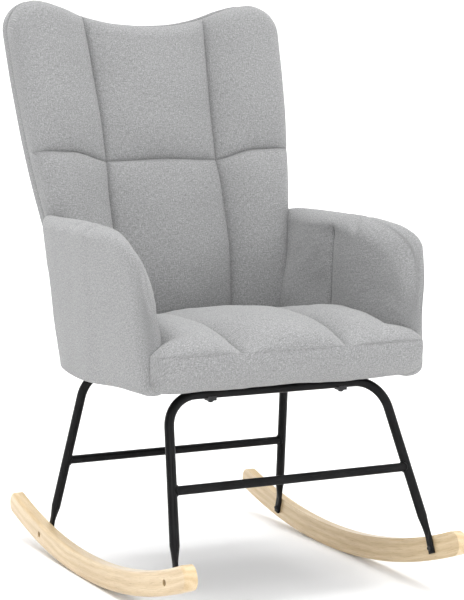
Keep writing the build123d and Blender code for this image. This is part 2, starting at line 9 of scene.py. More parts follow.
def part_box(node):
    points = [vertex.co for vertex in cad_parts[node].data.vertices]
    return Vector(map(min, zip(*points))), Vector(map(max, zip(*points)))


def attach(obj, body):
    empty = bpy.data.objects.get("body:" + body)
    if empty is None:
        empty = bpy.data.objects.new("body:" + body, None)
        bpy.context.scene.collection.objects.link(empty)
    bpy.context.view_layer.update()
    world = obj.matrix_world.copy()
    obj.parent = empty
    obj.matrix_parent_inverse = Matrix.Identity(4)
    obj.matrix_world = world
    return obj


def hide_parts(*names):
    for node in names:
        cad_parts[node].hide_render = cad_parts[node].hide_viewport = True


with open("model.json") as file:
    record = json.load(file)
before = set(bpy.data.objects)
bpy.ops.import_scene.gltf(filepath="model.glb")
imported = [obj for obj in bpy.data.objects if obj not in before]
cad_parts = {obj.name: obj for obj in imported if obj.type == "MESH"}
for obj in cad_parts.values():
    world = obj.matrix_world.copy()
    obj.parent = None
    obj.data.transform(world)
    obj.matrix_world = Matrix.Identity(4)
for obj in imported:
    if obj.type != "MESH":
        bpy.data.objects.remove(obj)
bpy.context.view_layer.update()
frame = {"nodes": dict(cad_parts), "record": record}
NODES = frame["nodes"]

# Shapes are laid out in metres in the chair's working frame, whose front rail stands at FRAME_FRONT_Y.
FRAME_FRONT_Y = -0.182
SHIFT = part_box("seat_dust_cover")[0][1] - FRAME_FRONT_Y

SEAT_FRAME_Z = 0.347             # underside of the seat frame
ARM_HEIGHT = 0.259               # from there to the arm's top
BACK_HEIGHT = 0.980
BACK_HALF_WIDTH = 0.268
ROCKER_RADIUS = 1.173
ROCKER_CENTRE_Y = 0.065
TUBE_RADIUS = 0.008
CROSSBAR_RADIUS = 0.0074
COVER_WIDTH, COVER_LENGTH = 0.420, 0.409
THREAD_PITCH = 0.0021              # pitch of the cloth's threads


# ---- curves and grids ----
def smooth(points, at):
    """A smooth curve through (position, value) points that never overshoots them."""
    xs, ys = np.array(points, float).T
    steps, rises = np.diff(xs), np.diff(ys)
    slopes = rises / steps
    tangents = np.zeros_like(ys)
    flat = slopes[:-1] * slopes[1:] <= 0
    with np.errstate(divide="ignore", invalid="ignore"):
        inner = 2 * slopes[:-1] * slopes[1:] / (slopes[:-1] + slopes[1:])
    tangents[1:-1] = np.where(flat, 0, inner)
    tangents[0], tangents[-1] = slopes[0], slopes[-1]
    at = np.clip(at, xs[0], xs[-1])
    i = np.clip(np.searchsorted(xs, at, side="right") - 1, 0, len(xs) - 2)
    h = steps[i]
    t = (at - xs[i]) / h
    low = (1 + 2 * t) * (1 - t) ** 2 * ys[i] + t * (1 - t) ** 2 * h * tangents[i]
    high = t * t * (3 - 2 * t) * ys[i + 1] + t * t * (t - 1) * h * tangents[i + 1]
    return low + high


def step01(t):
    t = np.clip(t, 0, 1)
    return t * t * (3 - 2 * t)


def bump(value, centre, width):
    return np.exp(-(((value - centre) / width) ** 2))


def stations(low, high, marks=(), step=0.0055, roll=0.028, rolls=9):
    """Places from low to high, closer together at both ends and at each mark."""
    turns = 1 - np.cos(np.linspace(0, math.pi / 2, rolls + 1))
    kept = list(low + roll * turns) + list(high - roll * turns)
    for mark in marks:
        for away in (0, 0.0009, 0.002, 0.0036, 0.006, 0.0095):
            kept += [mark - away, mark + away]
    kept = sorted(set(round(k, 6) for k in kept if low <= k <= high))
    count = int(round((high - low) / step))
    for place in np.linspace(low, high, count + 1):
        if min(abs(place - k) for k in kept) > 0.55 * step:
            kept.append(float(place))
    return np.array(sorted(kept))


def distance(x, y, line):
    """Distance of each point of a grid from a polyline, and how far along the line its nearest point is."""
    line = np.array(line, float)
    best = np.full(x.shape, 1e9)
    along = np.zeros(x.shape)
    run = 0.0
    for a, b in zip(line[:-1], line[1:]):
        ab = b - a
        length = math.hypot(*ab)
        if length < 1e-9:
            continue
        t = np.clip(((x - a[0]) * ab[0] + (y - a[1]) * ab[1]) / length ** 2, 0, 1)
        d = np.hypot(x - a[0] - t * ab[0], y - a[1] - t * ab[1])
        nearer = d < best
        best = np.where(nearer, d, best)
        along = np.where(nearer, run + t * length, along)
        run += length
    return best, along


def rolled(d, radius):
    """0 at an edge, rising as a quarter circle to 1 a radius inside it."""
    t = 1 - np.clip(d / radius, 0, 1)
    return np.sqrt(np.clip(1 - t * t, 0, 1))


def seam_fill(d, narrow=0.0035, broad=0.024, share=0.45):
    """How full the padding is at a distance from a seam: 0 in it, 1 far away."""
    return share * (1 - np.exp(-d / narrow)) + (1 - share) * (1 - np.exp(-d / broad))


def clouds(x, y, z, size, seed):
    """Smooth noise between about -1 and 1."""
    flat = np.stack([np.ravel(x), np.ravel(y), np.ravel(z)], axis=1) / size + seed * 17.3
    values = [noise.noise(Vector(point)) for point in flat]
    return np.array(values).reshape(np.shape(x)) * 1.8


def puckers(d, along, depth, reach, pitch, seed):
    """Small folds that run away from a seam: a wave along it, uneven, dying out with distance."""
    drift = clouds(along, along * 0, along * 0, pitch * 2.6, seed)
    strength = 0.55 + 0.45 * clouds(along, along * 0 + 0.5, along * 0, pitch * 3.4, seed + 1)
    wave = np.sin(2 * math.pi * along / pitch + 2.4 * drift)
    return depth * strength * wave * np.exp(-d / reach) * (1 - np.exp(-d / 0.004))


# ---- meshes ----
def arc_lengths(points):
    """Texture coordinates of a grid of points, in metres along its rows and its columns."""
    across = np.linalg.norm(np.diff(points, axis=1), axis=2)
    up = np.linalg.norm(np.diff(points, axis=0), axis=2)
    u = np.concatenate([np.zeros((points.shape[0], 1)), np.cumsum(across, axis=1)], axis=1)
    v = np.concatenate([np.zeros((1, points.shape[1])), np.cumsum(up, axis=0)], axis=0)
    u -= u[:, u.shape[1] // 2][:, None]
    return np.stack([u, v], axis=2)


def make_object(name, verts, faces, uvs, material):
    mesh = bpy.data.meshes.new(name)
    mesh.from_pydata([tuple(v) for v in verts], [], faces)
    mesh.validate()
    layer = mesh.uv_layers.new(name="cloth")
    corner_verts = np.empty(len(mesh.loops), dtype=int)
    mesh.loops.foreach_get("vertex_index", corner_verts)
    layer.data.foreach_set("uv", np.asarray(uvs)[corner_verts].astype(np.float32).ravel())
    mesh.polygons.foreach_set("use_smooth", [True] * len(mesh.polygons))
    mesh.materials.append(material)
    obj = bpy.data.objects.new(name, mesh)
    bpy.context.scene.collection.objects.link(obj)
    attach(obj, "root")
    return obj


def pillow_mesh(front, rear):
    """Vertices, faces and texture coordinates of two sheets that share their border."""
    rows, cols = front.shape[:2]
    index = np.arange(rows * cols).reshape(rows, cols)
    back = index.copy()
    inner = (rows - 2) * (cols - 2)
    back[1:-1, 1:-1] = rows * cols + np.arange(inner).reshape(rows - 2, cols - 2)
    verts = np.concatenate([front.reshape(-1, 3), rear[1:-1, 1:-1].reshape(-1, 3)])
    uv_front = arc_lengths(front)
    uv_rear = arc_lengths(rear)
    uvs = np.concatenate([uv_front.reshape(-1, 2), uv_rear[1:-1, 1:-1].reshape(-1, 2)])
    faces = []
    for r in range(rows - 1):
        for c in range(cols - 1):
            faces.append((index[r, c], index[r, c + 1], index[r + 1, c + 1], index[r + 1, c]))
            faces.append((back[r, c], back[r + 1, c], back[r + 1, c + 1], back[r, c + 1]))
    return verts, [tuple(int(i) for i in f) for f in faces], uvs


def shifted(points):
    return points + np.array([0, SHIFT, 0])


# ---- materials ----
class Nodes:
    """A material's node tree, with short calls for the nodes used here."""

    def __init__(self, name):
        self.material = bpy.data.materials.new(name)
        self.material.use_nodes = True
        self.tree = self.material.node_tree
        self.shader = self.tree.nodes["Principled BSDF"]

    def add(self, kind, inputs=None, **settings):
        node = self.tree.nodes.new(kind)
        for key, value in settings.items():
            setattr(node, key, value)
        for key, value in (inputs or {}).items():
            if isinstance(value, bpy.types.NodeSocket):
                self.tree.links.new(value, node.inputs[key])
            else:
                node.inputs[key].default_value = value
        return node

    def math(self, operation, a, b=0.0):
        return self.add("ShaderNodeMath", {0: a, 1: b}, operation=operation).outputs[0]

    def stretch(self, vector, scale):
        node = self.add("ShaderNodeMapping", {"Vector": vector, "Scale": scale})
        return node.outputs[0]

    def noise(self, vector, scale, detail=3.0, rough=0.55):
        inputs = {"Vector": vector, "Scale": scale, "Detail": detail, "Roughness": rough}
        return self.add("ShaderNodeTexNoise", inputs).outputs["Fac"]

    def ramp(self, factor, stops):
        node = self.add("ShaderNodeValToRGB", {"Fac": factor})
        ramp = node.color_ramp
        ramp.elements[0].position, ramp.elements[0].color = stops[0][0], (*stops[0][1], 1)
        ramp.elements[1].position, ramp.elements[1].color = stops[-1][0], (*stops[-1][1], 1)
        for place, colour in stops[1:-1]:
            ramp.elements.new(place).color = (*colour, 1)
        return node.outputs["Color"]

    def mix(self, factor, a, b, blend="MIX"):
        node = self.add("ShaderNodeMix", data_type="RGBA", blend_type=blend)
        for key, value in ((0, factor), (6, a), (7, b)):
            if isinstance(value, bpy.types.NodeSocket):
                self.tree.links.new(value, node.inputs[key])
            else:
                node.inputs[key].default_value = value
        return node.outputs[2]

    def set(self, **sockets):
        for key, value in sockets.items():
            socket = self.shader.inputs[key.replace("_", " ")]
            if isinstance(value, bpy.types.NodeSocket):
                self.tree.links.new(value, socket)
            else:
                socket.default_value = value

    def relief(self, height, distance, strength=1.0, under=None):
        inputs = {"Height": height, "Distance": distance, "Strength": strength}
        if under is not None:
            inputs["Normal"] = under
        return self.add("ShaderNodeBump", inputs).outputs["Normal"]


def upholstery_cloth():
    """Light grey melange cloth: a plain weave of slubby threads in mixed greys."""
    n = Nodes("upholstery_cloth")
    uv = n.add("ShaderNodeUVMap", uv_map="cloth").outputs["UV"]
    split = n.add("ShaderNodeSeparateXYZ", {"Vector": uv})
    wobble = n.noise(n.stretch(uv, (260, 260, 1)), 1.0, 1.0)
    pitch = math.pi / THREAD_PITCH
    across = n.math("ADD", n.math("MULTIPLY", split.outputs["X"], pitch), n.math("MULTIPLY", wobble, 1.6))
    up = n.math("ADD", n.math("MULTIPLY", split.outputs["Y"], pitch), n.math("MULTIPLY", wobble, 1.6))
    sin_x, sin_y = n.math("SINE", across), n.math("SINE", up)
    over = n.math("MULTIPLY_ADD", n.math("MULTIPLY", sin_x, sin_y), 0.5)
    over.node.inputs[2].default_value = 0.5
    warp = n.math("MULTIPLY", n.math("MULTIPLY", sin_x, sin_x), over)
    weft = n.math("MULTIPLY", n.math("MULTIPLY", sin_y, sin_y), n.math("SUBTRACT", 1.0, over))
    weave = n.math("ADD", warp, weft)
    slub_warp = n.noise(n.stretch(uv, (520, 130, 1)), 1.0, 2.0)
    slub_weft = n.noise(n.stretch(uv, (130, 520, 1)), 1.0, 2.0)
    fleck = n.noise(n.stretch(uv, (430, 430, 1)), 1.0, 2.0, 0.7)
    broad = n.noise(n.stretch(uv, (9, 9, 1)), 1.0, 3.0)
    dark, mid, pale = (0.225, 0.227, 0.229), (0.288, 0.290, 0.292), (0.355, 0.357, 0.359)
    warp_colour = n.ramp(slub_warp, [(0.34, dark), (0.5, mid), (0.66, pale)])
    weft_colour = n.ramp(slub_weft, [(0.34, dark), (0.5, mid), (0.66, pale)])
    threads = n.mix(over, weft_colour, warp_colour)
    # painted shade: the colour darkens in the dips between the threads, where the weave's height is low
    painted_weave_shade = n.ramp(weave, [(0.05, (0.55, 0.55, 0.55)), (0.55, (1.08, 1.08, 1.08))])
    colour = n.mix(0.75, threads, painted_weave_shade, "MULTIPLY")
    flecks = n.ramp(fleck, [(0.38, (0.74, 0.74, 0.75)), (0.5, (1, 1, 1)), (0.62, (1.22, 1.22, 1.21))])
    colour = n.mix(0.8, colour, flecks, "MULTIPLY")
    patches = n.ramp(broad, [(0.3, (0.975, 0.975, 0.977)), (0.7, (1.02, 1.02, 1.02))])
    colour = n.mix(1.0, colour, patches, "MULTIPLY")
    rough = n.math("MULTIPLY_ADD", fleck, 0.12)
    rough.node.inputs[2].default_value = 0.82
    fuzz = n.relief(fleck, 0.0005, 0.6)
    normal = n.relief(weave, 0.0006, 0.8, fuzz)
    n.set(Base_Color=colour, Roughness=rough, Normal=normal)
    n.set(Sheen_Weight=0.22, Sheen_Roughness=0.45, Specular_IOR_Level=0.25)
    return n.material


def rocker_wood():
    """Pale lacquered wood with the grain running along the bent lath."""
    n = Nodes("lacquered_wood")
    place = n.add("ShaderNodeTexCoord").outputs["Object"]
    split = n.add("ShaderNodeSeparateXYZ", {"Vector": place})
    centre_y = ROCKER_CENTRE_Y + SHIFT
    dy = n.math("SUBTRACT", split.outputs["Y"], centre_y)
    dz = n.math("SUBTRACT", split.outputs["Z"], ROCKER_RADIUS)
    radius = n.math("SQRT", n.math("ADD", n.math("MULTIPLY", dy, dy), n.math("MULTIPLY", dz, dz)))
    depth = n.math("SUBTRACT", ROCKER_RADIUS, radius)
    along = n.math("MULTIPLY", n.math("ARCTAN2", dy, n.math("MULTIPLY", dz, -1.0)), ROCKER_RADIUS)
    lath = n.add("ShaderNodeCombineXYZ", {"X": split.outputs["X"], "Y": along, "Z": depth}).outputs[0]
    swirl = n.noise(n.stretch(lath, (30, 7, 30)), 1.0, 2.0)
    rings = n.math("ADD", n.math("MULTIPLY", depth, 420.0), n.math("MULTIPLY", swirl, 11.0))
    rings = n.math("ADD", rings, n.math("MULTIPLY", split.outputs["X"], 160.0))
    grain = n.math("MULTIPLY_ADD", n.math("SINE", rings), 0.5)
    grain.node.inputs[2].default_value = 0.5
    fibres = n.noise(n.stretch(lath, (900, 26, 900)), 1.0, 4.0, 0.65)
    pores = n.noise(n.stretch(lath, (1500, 70, 1500)), 1.0, 2.0, 0.5)
    tone = n.noise(n.stretch(lath, (22, 4, 22)), 1.0, 2.0)
    dark, mid, pale = (0.560, 0.425, 0.250), (0.605, 0.468, 0.288), (0.645, 0.515, 0.330)
    base = n.ramp(grain, [(0.0, dark), (0.45, mid), (1.0, pale)])
    streaks = n.ramp(fibres, [(0.32, (0.80, 0.76, 0.70)), (0.55, (1, 1, 1)), (0.75, (1.07, 1.07, 1.06))])
    colour = n.mix(0.85, base, streaks, "MULTIPLY")
    specks = n.ramp(pores, [(0.30, (0.55, 0.46, 0.38)), (0.38, (1, 1, 1))])
    colour = n.mix(0.55, colour, specks, "MULTIPLY")
    shades = n.ramp(tone, [(0.3, (0.93, 0.90, 0.86)), (0.7, (1.05, 1.05, 1.05))])
    colour = n.mix(1.0, colour, shades, "MULTIPLY")
    rough = n.math("MULTIPLY_ADD", fibres, 0.16)
    rough.node.inputs[2].default_value = 0.34
    n.set(Base_Color=colour, Roughness=rough, Normal=n.relief(fibres, 0.0002, 0.5))
    n.set(Coat_Weight=0.35, Coat_Roughness=0.22, Specular_IOR_Level=0.45)
    return n.material


def raw_wood(name, pale, dark, across):
    """Sawn, unlacquered wood, with its grain along one axis."""
    n = Nodes(name)
    place = n.add("ShaderNodeTexCoord").outputs["Object"]
    grain = n.noise(n.stretch(place, across), 1.0, 5.0, 0.6)
    saw = n.noise(n.stretch(place, tuple(6 * a for a in across)), 1.0, 2.0)
    colour = n.ramp(grain, [(0.35, dark), (0.65, pale)])
    marks = n.ramp(saw, [(0.3, (0.8, 0.78, 0.75)), (0.6, (1.05, 1.05, 1.05))])
    colour = n.mix(0.5, colour, marks, "MULTIPLY")
    n.set(Base_Color=colour, Roughness=n.ramp(saw, [(0.3, (0.62,) * 3), (0.7, (0.8,) * 3)]))
    n.set(Normal=n.relief(grain, 0.0004, 0.6))
    return n.material


def powder_coat():
    """Matte black powder coat with a fine orange-peel skin and a faint uneven mottle in its colour and
    gloss.
    """
    n = Nodes("black_powder_coat")
    place = n.add("ShaderNodeTexCoord").outputs["Object"]
    peel = n.noise(n.stretch(place, (900, 900, 900)), 1.0, 2.0)
    dust = n.noise(n.stretch(place, (38, 38, 38)), 1.0, 4.0, 0.6)
    colour = n.ramp(dust, [(0.3, (0.0045, 0.0045, 0.0048)), (0.7, (0.0095, 0.0095, 0.0100))])
    rough = n.ramp(dust, [(0.3, (0.30,) * 3), (0.7, (0.42,) * 3)])
    n.set(Base_Color=colour, Roughness=rough, Normal=n.relief(peel, 0.00012, 0.55))
    n.set(Specular_IOR_Level=0.10)
    return n.material


def metal(name, pale, dark, rough, shiny):
    """Brushed or oxidised steel with fine scratches and a mottled skin."""
    n = Nodes(name)
    place = n.add("ShaderNodeTexCoord").outputs["Object"]
    mottle = n.noise(n.stretch(place, (300, 300, 300)), 1.0, 4.0, 0.6)
    lines = n.noise(n.stretch(place, (2600, 260, 260)), 1.0, 2.0)
    n.set(Base_Color=n.ramp(mottle, [(0.3, dark), (0.7, pale)]))
    n.set(Roughness=n.ramp(lines, [(0.3, (rough,) * 3), (0.7, (rough + 0.16,) * 3)]))
    n.set(Normal=n.relief(lines, 0.00006, 0.5), Metallic=shiny)
    return n.material


def dark_cloth(name, pale, dark, pitch):
    """Woven strap or thin non-woven cloth in black."""
    n = Nodes(name)
    place = n.add("ShaderNodeTexCoord").outputs["Object"]
    fibres = n.noise(n.stretch(place, (pitch, pitch, pitch)), 1.0, 3.0, 0.7)
    ribs = n.noise(n.stretch(place, (60, 1500, 1500)), 1.0, 1.0)
    fuzz = n.ramp(fibres, [(0.35, dark), (0.7, pale)])
    colour = n.mix(0.5, fuzz, n.ramp(ribs, [(0.3, dark), (0.7, pale)]))
    n.set(Base_Color=colour, Roughness=n.ramp(fibres, [(0.3, (0.78,) * 3), (0.7, (0.92,) * 3)]))
    n.set(Normal=n.relief(fibres, 0.0003, 0.7), Specular_IOR_Level=0.2)
    return n.material


CLOTH = upholstery_cloth()
WOOD = rocker_wood()
PINE = raw_wood("raw_pine", (0.68, 0.54, 0.37), (0.50, 0.36, 0.22), (150, 12, 150))
PLY = raw_wood("raw_plywood", (0.72, 0.60, 0.44), (0.60, 0.46, 0.30), (420, 9, 60))
COAT = powder_coat()
OXIDE = metal("black_oxide", (0.035, 0.035, 0.037), (0.015, 0.015, 0.016), 0.36, 0.6)
ZINC = metal("zinc_plate", (0.68, 0.69, 0.68), (0.48, 0.49, 0.50), 0.28, 1.0)
STRAP = dark_cloth("webbing_strap", (0.055, 0.055, 0.056), (0.015, 0.015, 0.016), 900)
DUST = dark_cloth("dust_cloth", (0.03, 0.03, 0.031), (0.012, 0.012, 0.013), 1400)

BY_SLOT = {
    "leg_steel": COAT, "black_fasteners": OXIDE, "zinc_steel": ZINC, "rocker_wood": WOOD,
    "frame_wood": PINE, "plywood": PLY, "upholstery": CLOTH, "webbing": STRAP, "dust_cloth": DUST,
}
for part in frame["record"]["subparts"]:
    node = NODES[part["node"]]
    node.data.materials.clear()
    node.data.materials.append(BY_SLOT[part["material_slot"]])

# ---- back ----
BACK_FRONT_Y = 0.1935
BEND_RADIUS = 0.450
BEND_Z = 0.490
RECLINE = math.radians(17)
BEND_REACH = BEND_RADIUS * math.tan(RECLINE / 2)
BEND_START = BEND_Z - BEND_REACH
BEND_END = BEND_START + BEND_RADIUS * RECLINE


def back_point(x, s, n):
    """A point of the back: across, along its curved face from the floor's height, and behind the face."""
    turn = np.clip((s - BEND_START) / BEND_RADIUS, 0, RECLINE)
    rest = np.clip(s - BEND_END, 0, None)
    y = BACK_FRONT_Y + BEND_RADIUS * (1 - np.cos(turn)) + rest * math.sin(RECLINE)
    z = np.minimum(s, BEND_START) + BEND_RADIUS * np.sin(turn) + rest * math.cos(RECLINE)
    return np.stack([x + 0 * s, y + n * np.cos(turn), z - n * np.sin(turn)], axis=-1)


def along_back(z):
    """The place along the face for a height."""
    s = np.linspace(0.3, 1.1, 801)
    return np.interp(z, back_point(0 * s, s, 0 * s)[:, 2], s)


BACK_FOOT = 0.402
SEAM_Z = 0.697
# (height, half the width), (height, seam from the centre) and (from the centre, height of the top edge)
HALF_WIDTHS = [(0.35, 0.212), (0.45, 0.216), (0.55, 0.228), (0.61, 0.239), (0.72, 0.254),
               (0.81, 0.2615), (0.88, 0.2655), (0.95, 0.2675), (1.1, BACK_HALF_WIDTH)]
SEAM_XS = [(0.35, 0.104), (0.45, 0.108), (0.56, 0.112), (0.64, 0.1125), (0.70, 0.109), (0.78, 0.1105),
           (0.88, 0.115), (0.98, 0.1215), (1.1, 0.124)]
TOP_ZS = [(0.0, 0.939), (0.05, 0.942), (0.10, 0.951), (0.1215, 0.957), (0.16, 0.970), (0.20, 0.979),
          (0.225, 0.9805), (0.27, 0.9805)]
SEAM_X = 0.112                   # where the upright seams lie before they are bent to SEAM_XS
CORNER = 0.060
BACK_DEPTH = 0.032


def level_seam(x):
    """The place of the level seam along the face: higher across the wings, and a little in the middle."""
    x = np.abs(x)
    return along_back(SEAM_Z) + 0.0145 * step01((x - 0.108) / 0.072) + 0.0025 * bump(x, 0.0, 0.06)


def back_grid(inset, foot, marks, step, rise=0.0):
    """A sheet of the back, across and along, with grid lines on the seams; rise lifts its top."""
    half_width = BACK_HALF_WIDTH - inset
    top = along_back(BACK_HEIGHT) - inset
    cols = stations(-half_width, half_width, [m * side for m in marks for side in (-1, 1)], step)
    rows = stations(foot, top, [along_back(SEAM_Z)] if marks else [], step)
    c, s = np.meshgrid(cols, rows)
    nominal_s = s.copy()
    seam = along_back(SEAM_Z)
    x = c.copy()
    for _ in range(4):
        z = back_point(x, s, 0 * s)[..., 2]
        half = smooth(HALF_WIDTHS, z) - inset
        seam_x = smooth(SEAM_XS, z)
        nominal = np.abs(c)
        beyond = (nominal - SEAM_X) / (half_width - SEAM_X)
        line = np.where(nominal < SEAM_X, nominal / SEAM_X * seam_x, seam_x + beyond * (half - seam_x))
        x = np.sign(c) * line
        edge = smooth(TOP_ZS, np.abs(x))
        into = np.clip(np.abs(x) - (half - CORNER + inset * 0.6), 0, CORNER - inset * 0.6)
        reach = CORNER - inset * 0.6
        drop = reach - np.sqrt(np.clip(reach ** 2 - into ** 2, 0, None))
        top_s = along_back(edge) - inset - drop + rise
        seam_s = level_seam(x)
        below = foot + (nominal_s - foot) / (seam - foot) * (seam_s - foot)
        above = seam_s + (nominal_s - seam) / (top - seam) * (top_s - seam_s)
        s = np.where(nominal_s <= seam, below, above)
    return x, s


def border(x, s):
    """The outline of a grid, as a closed polyline."""
    ring = [(x[0, c], s[0, c]) for c in range(x.shape[1])]
    ring += [(x[r, -1], s[r, -1]) for r in range(1, x.shape[0])]
    ring += [(x[-1, c], s[-1, c]) for c in range(x.shape[1] - 2, -1, -1)]
    ring += [(x[r, 0], s[r, 0]) for r in range(x.shape[0] - 2, -1, -1)]
    return ring


def back_cushion():
    """The padded front of the back: three columns, the outer two coming forward as wings."""
    x, s = back_grid(0.0, BACK_FOOT, [SEAM_X], 0.0055)
    edge, _ = distance(x, s, border(x, s))
    z = back_point(x, s, 0 * s)[..., 2]
    seam_x = smooth(SEAM_XS, z)
    half = smooth(HALF_WIDTHS, z)
    out = np.clip((np.abs(x) - seam_x) / (half - seam_x), 0, 1)
    face = -0.024 * out ** 0.9
    middle = (face + BACK_DEPTH) / 2
    thick = (BACK_DEPTH - face) / 2
    side_d = np.abs(np.abs(x) - seam_x)
    seam_s = level_seam(x)
    level_d = np.abs(s - seam_s)
    roll = rolled(edge, 0.026 + 0.004 * out)
    pinch = 0.0125 * (1 - seam_fill(side_d))
    pinch = np.maximum(pinch, 0.0105 * (1 - seam_fill(level_d, broad=0.020)))
    both = 0.5 * np.minimum(0.0125 * (1 - seam_fill(side_d)), 0.0105 * (1 - seam_fill(level_d)))
    panel = np.where(np.abs(x) < seam_x, 1 - (np.abs(x) / seam_x) ** 2, 4 * out * (1 - out))
    tall = np.where(s > seam_s, (s - seam_s) / 0.27, (seam_s - s) / 0.31)
    tall = np.clip(4 * tall * (1 - tall), 0, 1)
    crown = 0.0105 * panel * np.sqrt(tall) + 0.002 * panel
    folds = puckers(side_d, s, 0.0011, 0.014, 0.021, 3) + puckers(level_d, x, 0.0013, 0.016, 0.019, 5)
    uneven = 0.0011 * clouds(x, s, 0 * s, 0.085, 1) + 0.0005 * clouds(x, s, 0 * s, 0.03, 2)
    front = middle - thick * roll + (pinch + both - crown + folds + uneven) * roll
    rear = middle + (BACK_DEPTH - middle) * rolled(edge, 0.014)
    verts, faces, uvs = pillow_mesh(shifted(back_point(x, s, front)), shifted(back_point(x, s, rear)))
    obj = make_object("back_pad", verts, faces, uvs, CLOTH)
    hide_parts("back_cushion")
    return obj


def back_cover():
    """The padded cover behind the back frame."""
    x, s = back_grid(0.003, 0.340, [], 0.009, rise=0.012)
    edge, along = distance(x, s, border(x, s))
    front_n = BACK_DEPTH - 0.006
    rear_n = 0.0555
    middle = (front_n + rear_n) / 2
    roll = rolled(edge, 0.016)
    uneven = 0.0016 * clouds(x, s, 0 * s, 0.11, 11) + 0.0006 * clouds(x, s, 0 * s, 0.035, 12)
    crown = 0.0035 * step01(edge / 0.12)
    folds = puckers(edge, along, 0.0009, 0.018, 0.023, 15)
    rear = middle + (rear_n - middle + crown + uneven + folds) * roll
    front = middle - (middle - front_n) * rolled(edge, 0.004)
    verts, faces, uvs = pillow_mesh(shifted(back_point(x, s, front)), shifted(back_point(x, s, rear)))
    obj = make_object("back_outer_cover", verts, faces, uvs, CLOTH)
    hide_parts("back_rear_cover")
    return obj


# ---- arms ----
# from the front to the rear: heights of the top on either side, and the two faces' distance from the centre
INNER_TOPS = [(-0.214, 0.430), (-0.206, 0.462), (-0.198, 0.496), (-0.180, 0.530), (-0.145, 0.560),
              (-0.093, 0.584), (-0.043, 0.597), (0.085, 0.604), (0.19, 0.605), (0.225, 0.602),
              (0.246, 0.592), (0.253, 0.577)]
OUTER_TOPS = [(-0.214, 0.500), (-0.210, 0.540), (-0.204, 0.566), (-0.194, 0.585), (-0.160, 0.5975),
              (-0.086, 0.6055), (0.0, 0.607), (0.19, 0.6070), (0.225, 0.6035), (0.246, 0.593),
              (0.253, 0.577)]
OUTER_XS = [(-0.214, 0.2555), (-0.10, 0.2590), (-0.03, 0.2590), (0.06, 0.2550), (0.12, 0.2480),
            (0.184, 0.2340), (0.235, 0.2165), (0.252, 0.2100)]
INNER_XS = [(-0.214, 0.2060), (-0.17, 0.2050), (-0.02, 0.2045), (0.12, 0.2035), (0.19, 0.2020),
            (0.252, 0.1950)]
ARM_FRONT = -0.214
ARM_REAR = 0.252
ARM_SEAM_Y = 0.030


def arm(side):
    """One arm's padding, from its outline seen from the side."""
    name = "right" if side > 0 else "left"
    cols = stations(ARM_FRONT, ARM_REAR, [ARM_SEAM_Y], 0.0055, 0.026)
    rows = stations(0.0, 1.0, [], 0.021, 0.10)
    y, t = np.meshgrid(cols, rows)
    foot = 0.346 - 0.011 * step01((y + 0.14) / 0.22) + 0.009 * step01((y - 0.19) / 0.06)
    foot = foot + 0.016 * (1 - np.sqrt(1 - np.clip((-0.194 - y) / 0.020, 0, 1) ** 2))
    nick = 0.0035 * bump(y, -0.030, 0.007) + 0.0022 * bump(y, ARM_SEAM_Y, 0.006)
    tops = [smooth(points, y) - nick for points in (INNER_TOPS, OUTER_TOPS)]
    z = foot + t * ((tops[0] + tops[1]) / 2 - foot)
    edge, _ = distance(y, z, border(y, z))
    up = np.clip((z - SEAT_FRAME_Z) / ARM_HEIGHT, 0, 1)
    flare = (0.0170 + 0.0150 * step01((y - 0.04) / 0.16)) * up ** 1.1
    outer = smooth(OUTER_XS, y) + flare
    inner = smooth(INNER_XS, y) + 0.9 * flare - 0.003 * step01((up - 0.55) / 0.4)
    inner = inner - 0.020 * step01((y - 0.05) / 0.13) * (1 - step01((z - 0.43) / 0.15))
    # near the front the inner face keeps close to the board inside, which leans out with the arm
    by_panel = 0.2065 + 0.163 * np.clip(z - 0.398, 0, 0.10) + 0.05 * np.clip(z - 0.498, 0, 0.10)
    inner = inner + (by_panel - inner) * step01((-0.05 - y) / 0.10)
    middle = (outer + inner) / 2
    thick = (outer - inner) / 2
    high = step01((z - foot) / 0.09)
    roll = rolled(edge, 0.010 + 0.014 * high)
    front = step01((-0.10 - y) / 0.06) * step01((0.52 - z) / 0.05)
    roll_inside = rolled(edge, 0.010 + 0.014 * high + 0.014 * front)
    seam_d = np.abs(y - ARM_SEAM_Y)
    reach = step01((z - 0.40) / 0.03) * step01((0.592 - z) / 0.02)
    pinch = 0.0115 * (1 - seam_fill(seam_d, 0.0035, 0.022)) * reach
    fold_y = (y + 0.034) - 0.7 * (z - 0.598)
    dimple = 0.0110 * np.exp(-((fold_y / 0.007) ** 2)) * step01((z - 0.575) / 0.018)
    crease = puckers(np.clip(y + 0.205, 0, None), z, 0.0017, 0.030, 0.015, 21 + side)
    crease = crease * bump(z, 0.49, 0.07)
    folds = puckers(seam_d, z, 0.0011, 0.012, 0.019, 23 + side) * reach
    uneven = 0.0013 * clouds(y, z, 0 * z, 0.08, 25 + side) + 0.0005 * clouds(y, z, 0 * z, 0.028, 27 + side)
    crown = 0.0030 * step01(edge / 0.07)
    inside = middle - (thick - pinch - dimple + crown + crease + folds + uneven) * roll_inside
    outside = middle + (thick + 0.5 * crown + uneven) * roll

    def placed(depth):
        lean = np.clip((depth - middle) / thick, -1, 1)
        lift = t * (tops[1] - tops[0]) / 2 * lean
        return np.stack([side * depth, y, z + lift], axis=-1)

    near, far = placed(inside), placed(outside)
    if side > 0:
        near, far = far, near
    verts, faces, uvs = pillow_mesh(shifted(near), shifted(far))
    obj = make_object("arm_cushion_" + name, verts, faces, uvs, CLOTH)
    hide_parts("arm_pad_" + name)
    return obj


